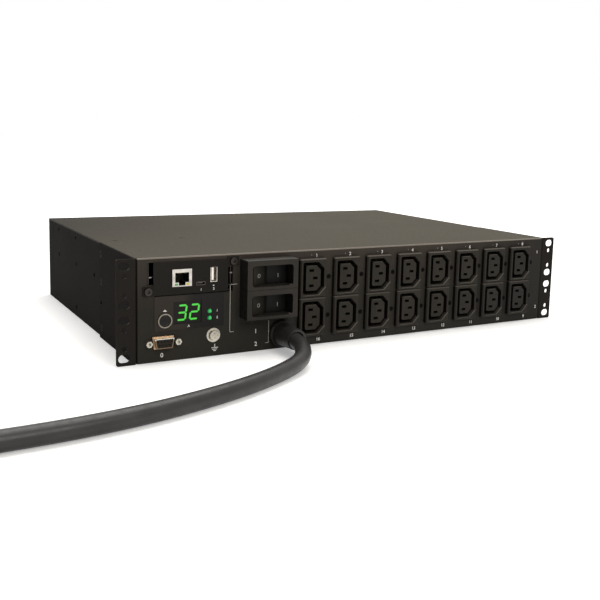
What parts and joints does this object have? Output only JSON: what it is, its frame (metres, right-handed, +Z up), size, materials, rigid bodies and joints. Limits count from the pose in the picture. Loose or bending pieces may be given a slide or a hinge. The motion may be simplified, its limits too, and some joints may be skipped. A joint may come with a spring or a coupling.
{
  "type": "rack power distribution unit",
  "caption": "Two-unit rack power unit with rows of keyed outlets, guarded rocker breakers, a digit display, a network card, rack ears and a fixed mains cord with a locking plug.",
  "frame": {"origin": "centre of the chassis base, on the surface that the unit stands on", "axes": "+X to the right as the front is seen, +Y from the front panel to the back, +Z up"},
  "size_m": [0.8135, 0.4849, 0.0881],
  "materials": {
    "powder_coat": "warm grey-black satin powder coat",
    "panel_coat": "near-black satin powder coat",
    "ear_coat": "near-black satin powder coat",
    "card_coat": "near-black satin powder coat",
    "dark_screw": "blackened",
    "black_screw": "black oxide",
    "bright_steel": "bright nickel plate",
    "bronze_plate": "yellow passivated plate",
    "circuit_board": "green solder mask",
    "black_plastic": "satin",
    "satin_plastic": "satin",
    "rocker_plastic": "semi-gloss",
    "button_plastic": "semi-gloss dark grey",
    "relay_plastic": "satin",
    "label_film": "glossy printed film",
    "dark_lens": "dark lens over lit digits",
    "green_lens": "tinted",
    "clear_lens": "frosted clear",
    "contact_brass": "plain",
    "soft_rubber": "matte",
    "cord_jacket": "satin jacket"
  },
  "bodies": {
    "chassis": {"chassis_tray": "powder_coat", "top_cover": "powder_coat", "front_panel": "panel_coat", "left_rack_ear": "ear_coat", "right_rack_ear": "ear_coat", "ear_screws": "dark_screw", "cover_screws": "dark_screw", "card_faceplate": "card_coat", "card_board": "circuit_board", "card_cage": "bright_steel", "card_screws": "black_screw", "ethernet_jack_shield": "bright_steel", "ethernet_jack_body": "black_plastic", "console_port": "bright_steel", "usb_port": "bright_steel", "display_overlay": "label_film", "digit_display": "dark_lens", "button_ring": "button_plastic", "button_switch": "black_plastic", "status_lights": "green_lens", "display_board": "circuit_board", "serial_connector_shell": "bronze_plate", "serial_connector_insert": "black_plastic", "serial_jack_screws": "bright_steel", "ground_screw": "bright_steel", "breaker_1_case": "satin_plastic", "breaker_2_case": "satin_plastic", "outlet_contacts": "contact_brass", "outlet_indicators": "clear_lens", "outlet_board": "circuit_board", "relays": "relay_plastic", "cable_gland": "black_plastic", "gland_locknut": "bright_steel", "cord_strain_relief": "soft_rubber", "power_cord": "cord_jacket", "cord_coil": "cord_jacket", "plug_body": "soft_rubber", "plug_blades": "contact_brass", "control_board": "circuit_board", "transformer": "relay_plastic", "terminal_block": "relay_plastic", "outlet_01": "black_plastic", "outlet_02": "black_plastic", "outlet_03": "black_plastic", "outlet_04": "black_plastic", "outlet_05": "black_plastic", "outlet_06": "black_plastic", "outlet_07": "black_plastic", "outlet_08": "black_plastic", "outlet_09": "black_plastic", "outlet_10": "black_plastic", "outlet_11": "black_plastic", "outlet_12": "black_plastic", "outlet_13": "black_plastic", "outlet_14": "black_plastic", "outlet_15": "black_plastic", "outlet_16": "black_plastic"},
    "breaker_1_rocker": {"breaker_1_rocker": "rocker_plastic"},
    "breaker_2_rocker": {"breaker_2_rocker": "rocker_plastic"},
    "mode_button": {"mode_button": "button_plastic"}
  },
  "joints": [
    {"name": "breaker_1_rock", "type": "hinge", "parent": "chassis", "child": "breaker_1_rocker", "pos_m": [-0.1066, -0.1629, 0.06965], "axis": [0, 0, 1], "range_deg": [-26, 0]},
    {"name": "breaker_2_rock", "type": "hinge", "parent": "chassis", "child": "breaker_2_rocker", "pos_m": [-0.1066, -0.1629, 0.04365], "axis": [0, 0, 1], "range_deg": [-26, 0]},
    {"name": "mode_press", "type": "slide", "parent": "chassis", "child": "mode_button", "axis": [0, 1, 0], "range_m": [0, 0.0008], "stiffness_N_per_m": 500, "springref_m": -0.0004}
  ]
}
